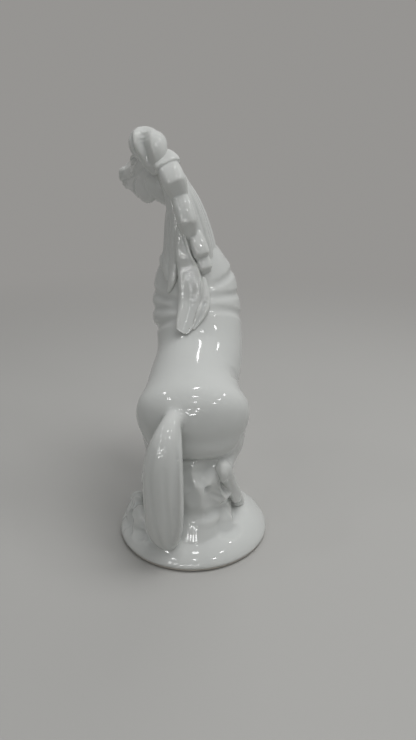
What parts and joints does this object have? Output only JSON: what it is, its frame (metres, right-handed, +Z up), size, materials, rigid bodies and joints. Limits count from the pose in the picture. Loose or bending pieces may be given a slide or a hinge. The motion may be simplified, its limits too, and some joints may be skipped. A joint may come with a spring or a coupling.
{
  "type": "porcelain horse figurine",
  "caption": "Glossy white glazed porcelain figurine of a baroque horse rearing on a rock, with a scalloped mane and a long tail, on a round domed plinth.",
  "frame": {"origin": "centre of the plinth's flat underside, on the table", "axes": "+Z up, +Y the way the horse faces, +X to the horse's right"},
  "size_m": [0.1205, 0.1939, 0.3004],
  "materials": {
    "porcelain": "clear gloss glaze over white porcelain"
  },
  "bodies": {
    "root": {"plinth": "porcelain", "trunk": "porcelain", "hind_leg_left": "porcelain", "hind_leg_right": "porcelain", "foreleg_left": "porcelain", "foreleg_right": "porcelain", "neck": "porcelain", "head": "porcelain", "ear_left": "porcelain", "ear_right": "porcelain", "mane_lock_1": "porcelain", "mane_lock_2": "porcelain", "mane_lock_3": "porcelain", "mane_lock_4": "porcelain", "mane_lock_5": "porcelain", "forelock": "porcelain", "mane_fall_left": "porcelain", "mane_fall_right": "porcelain", "withers_lock_long": "porcelain", "withers_lock_short": "porcelain", "tail": "porcelain", "tail_strand": "porcelain", "rock_mound": "porcelain", "rock_spur": "porcelain"}
  },
  "joints": []
}
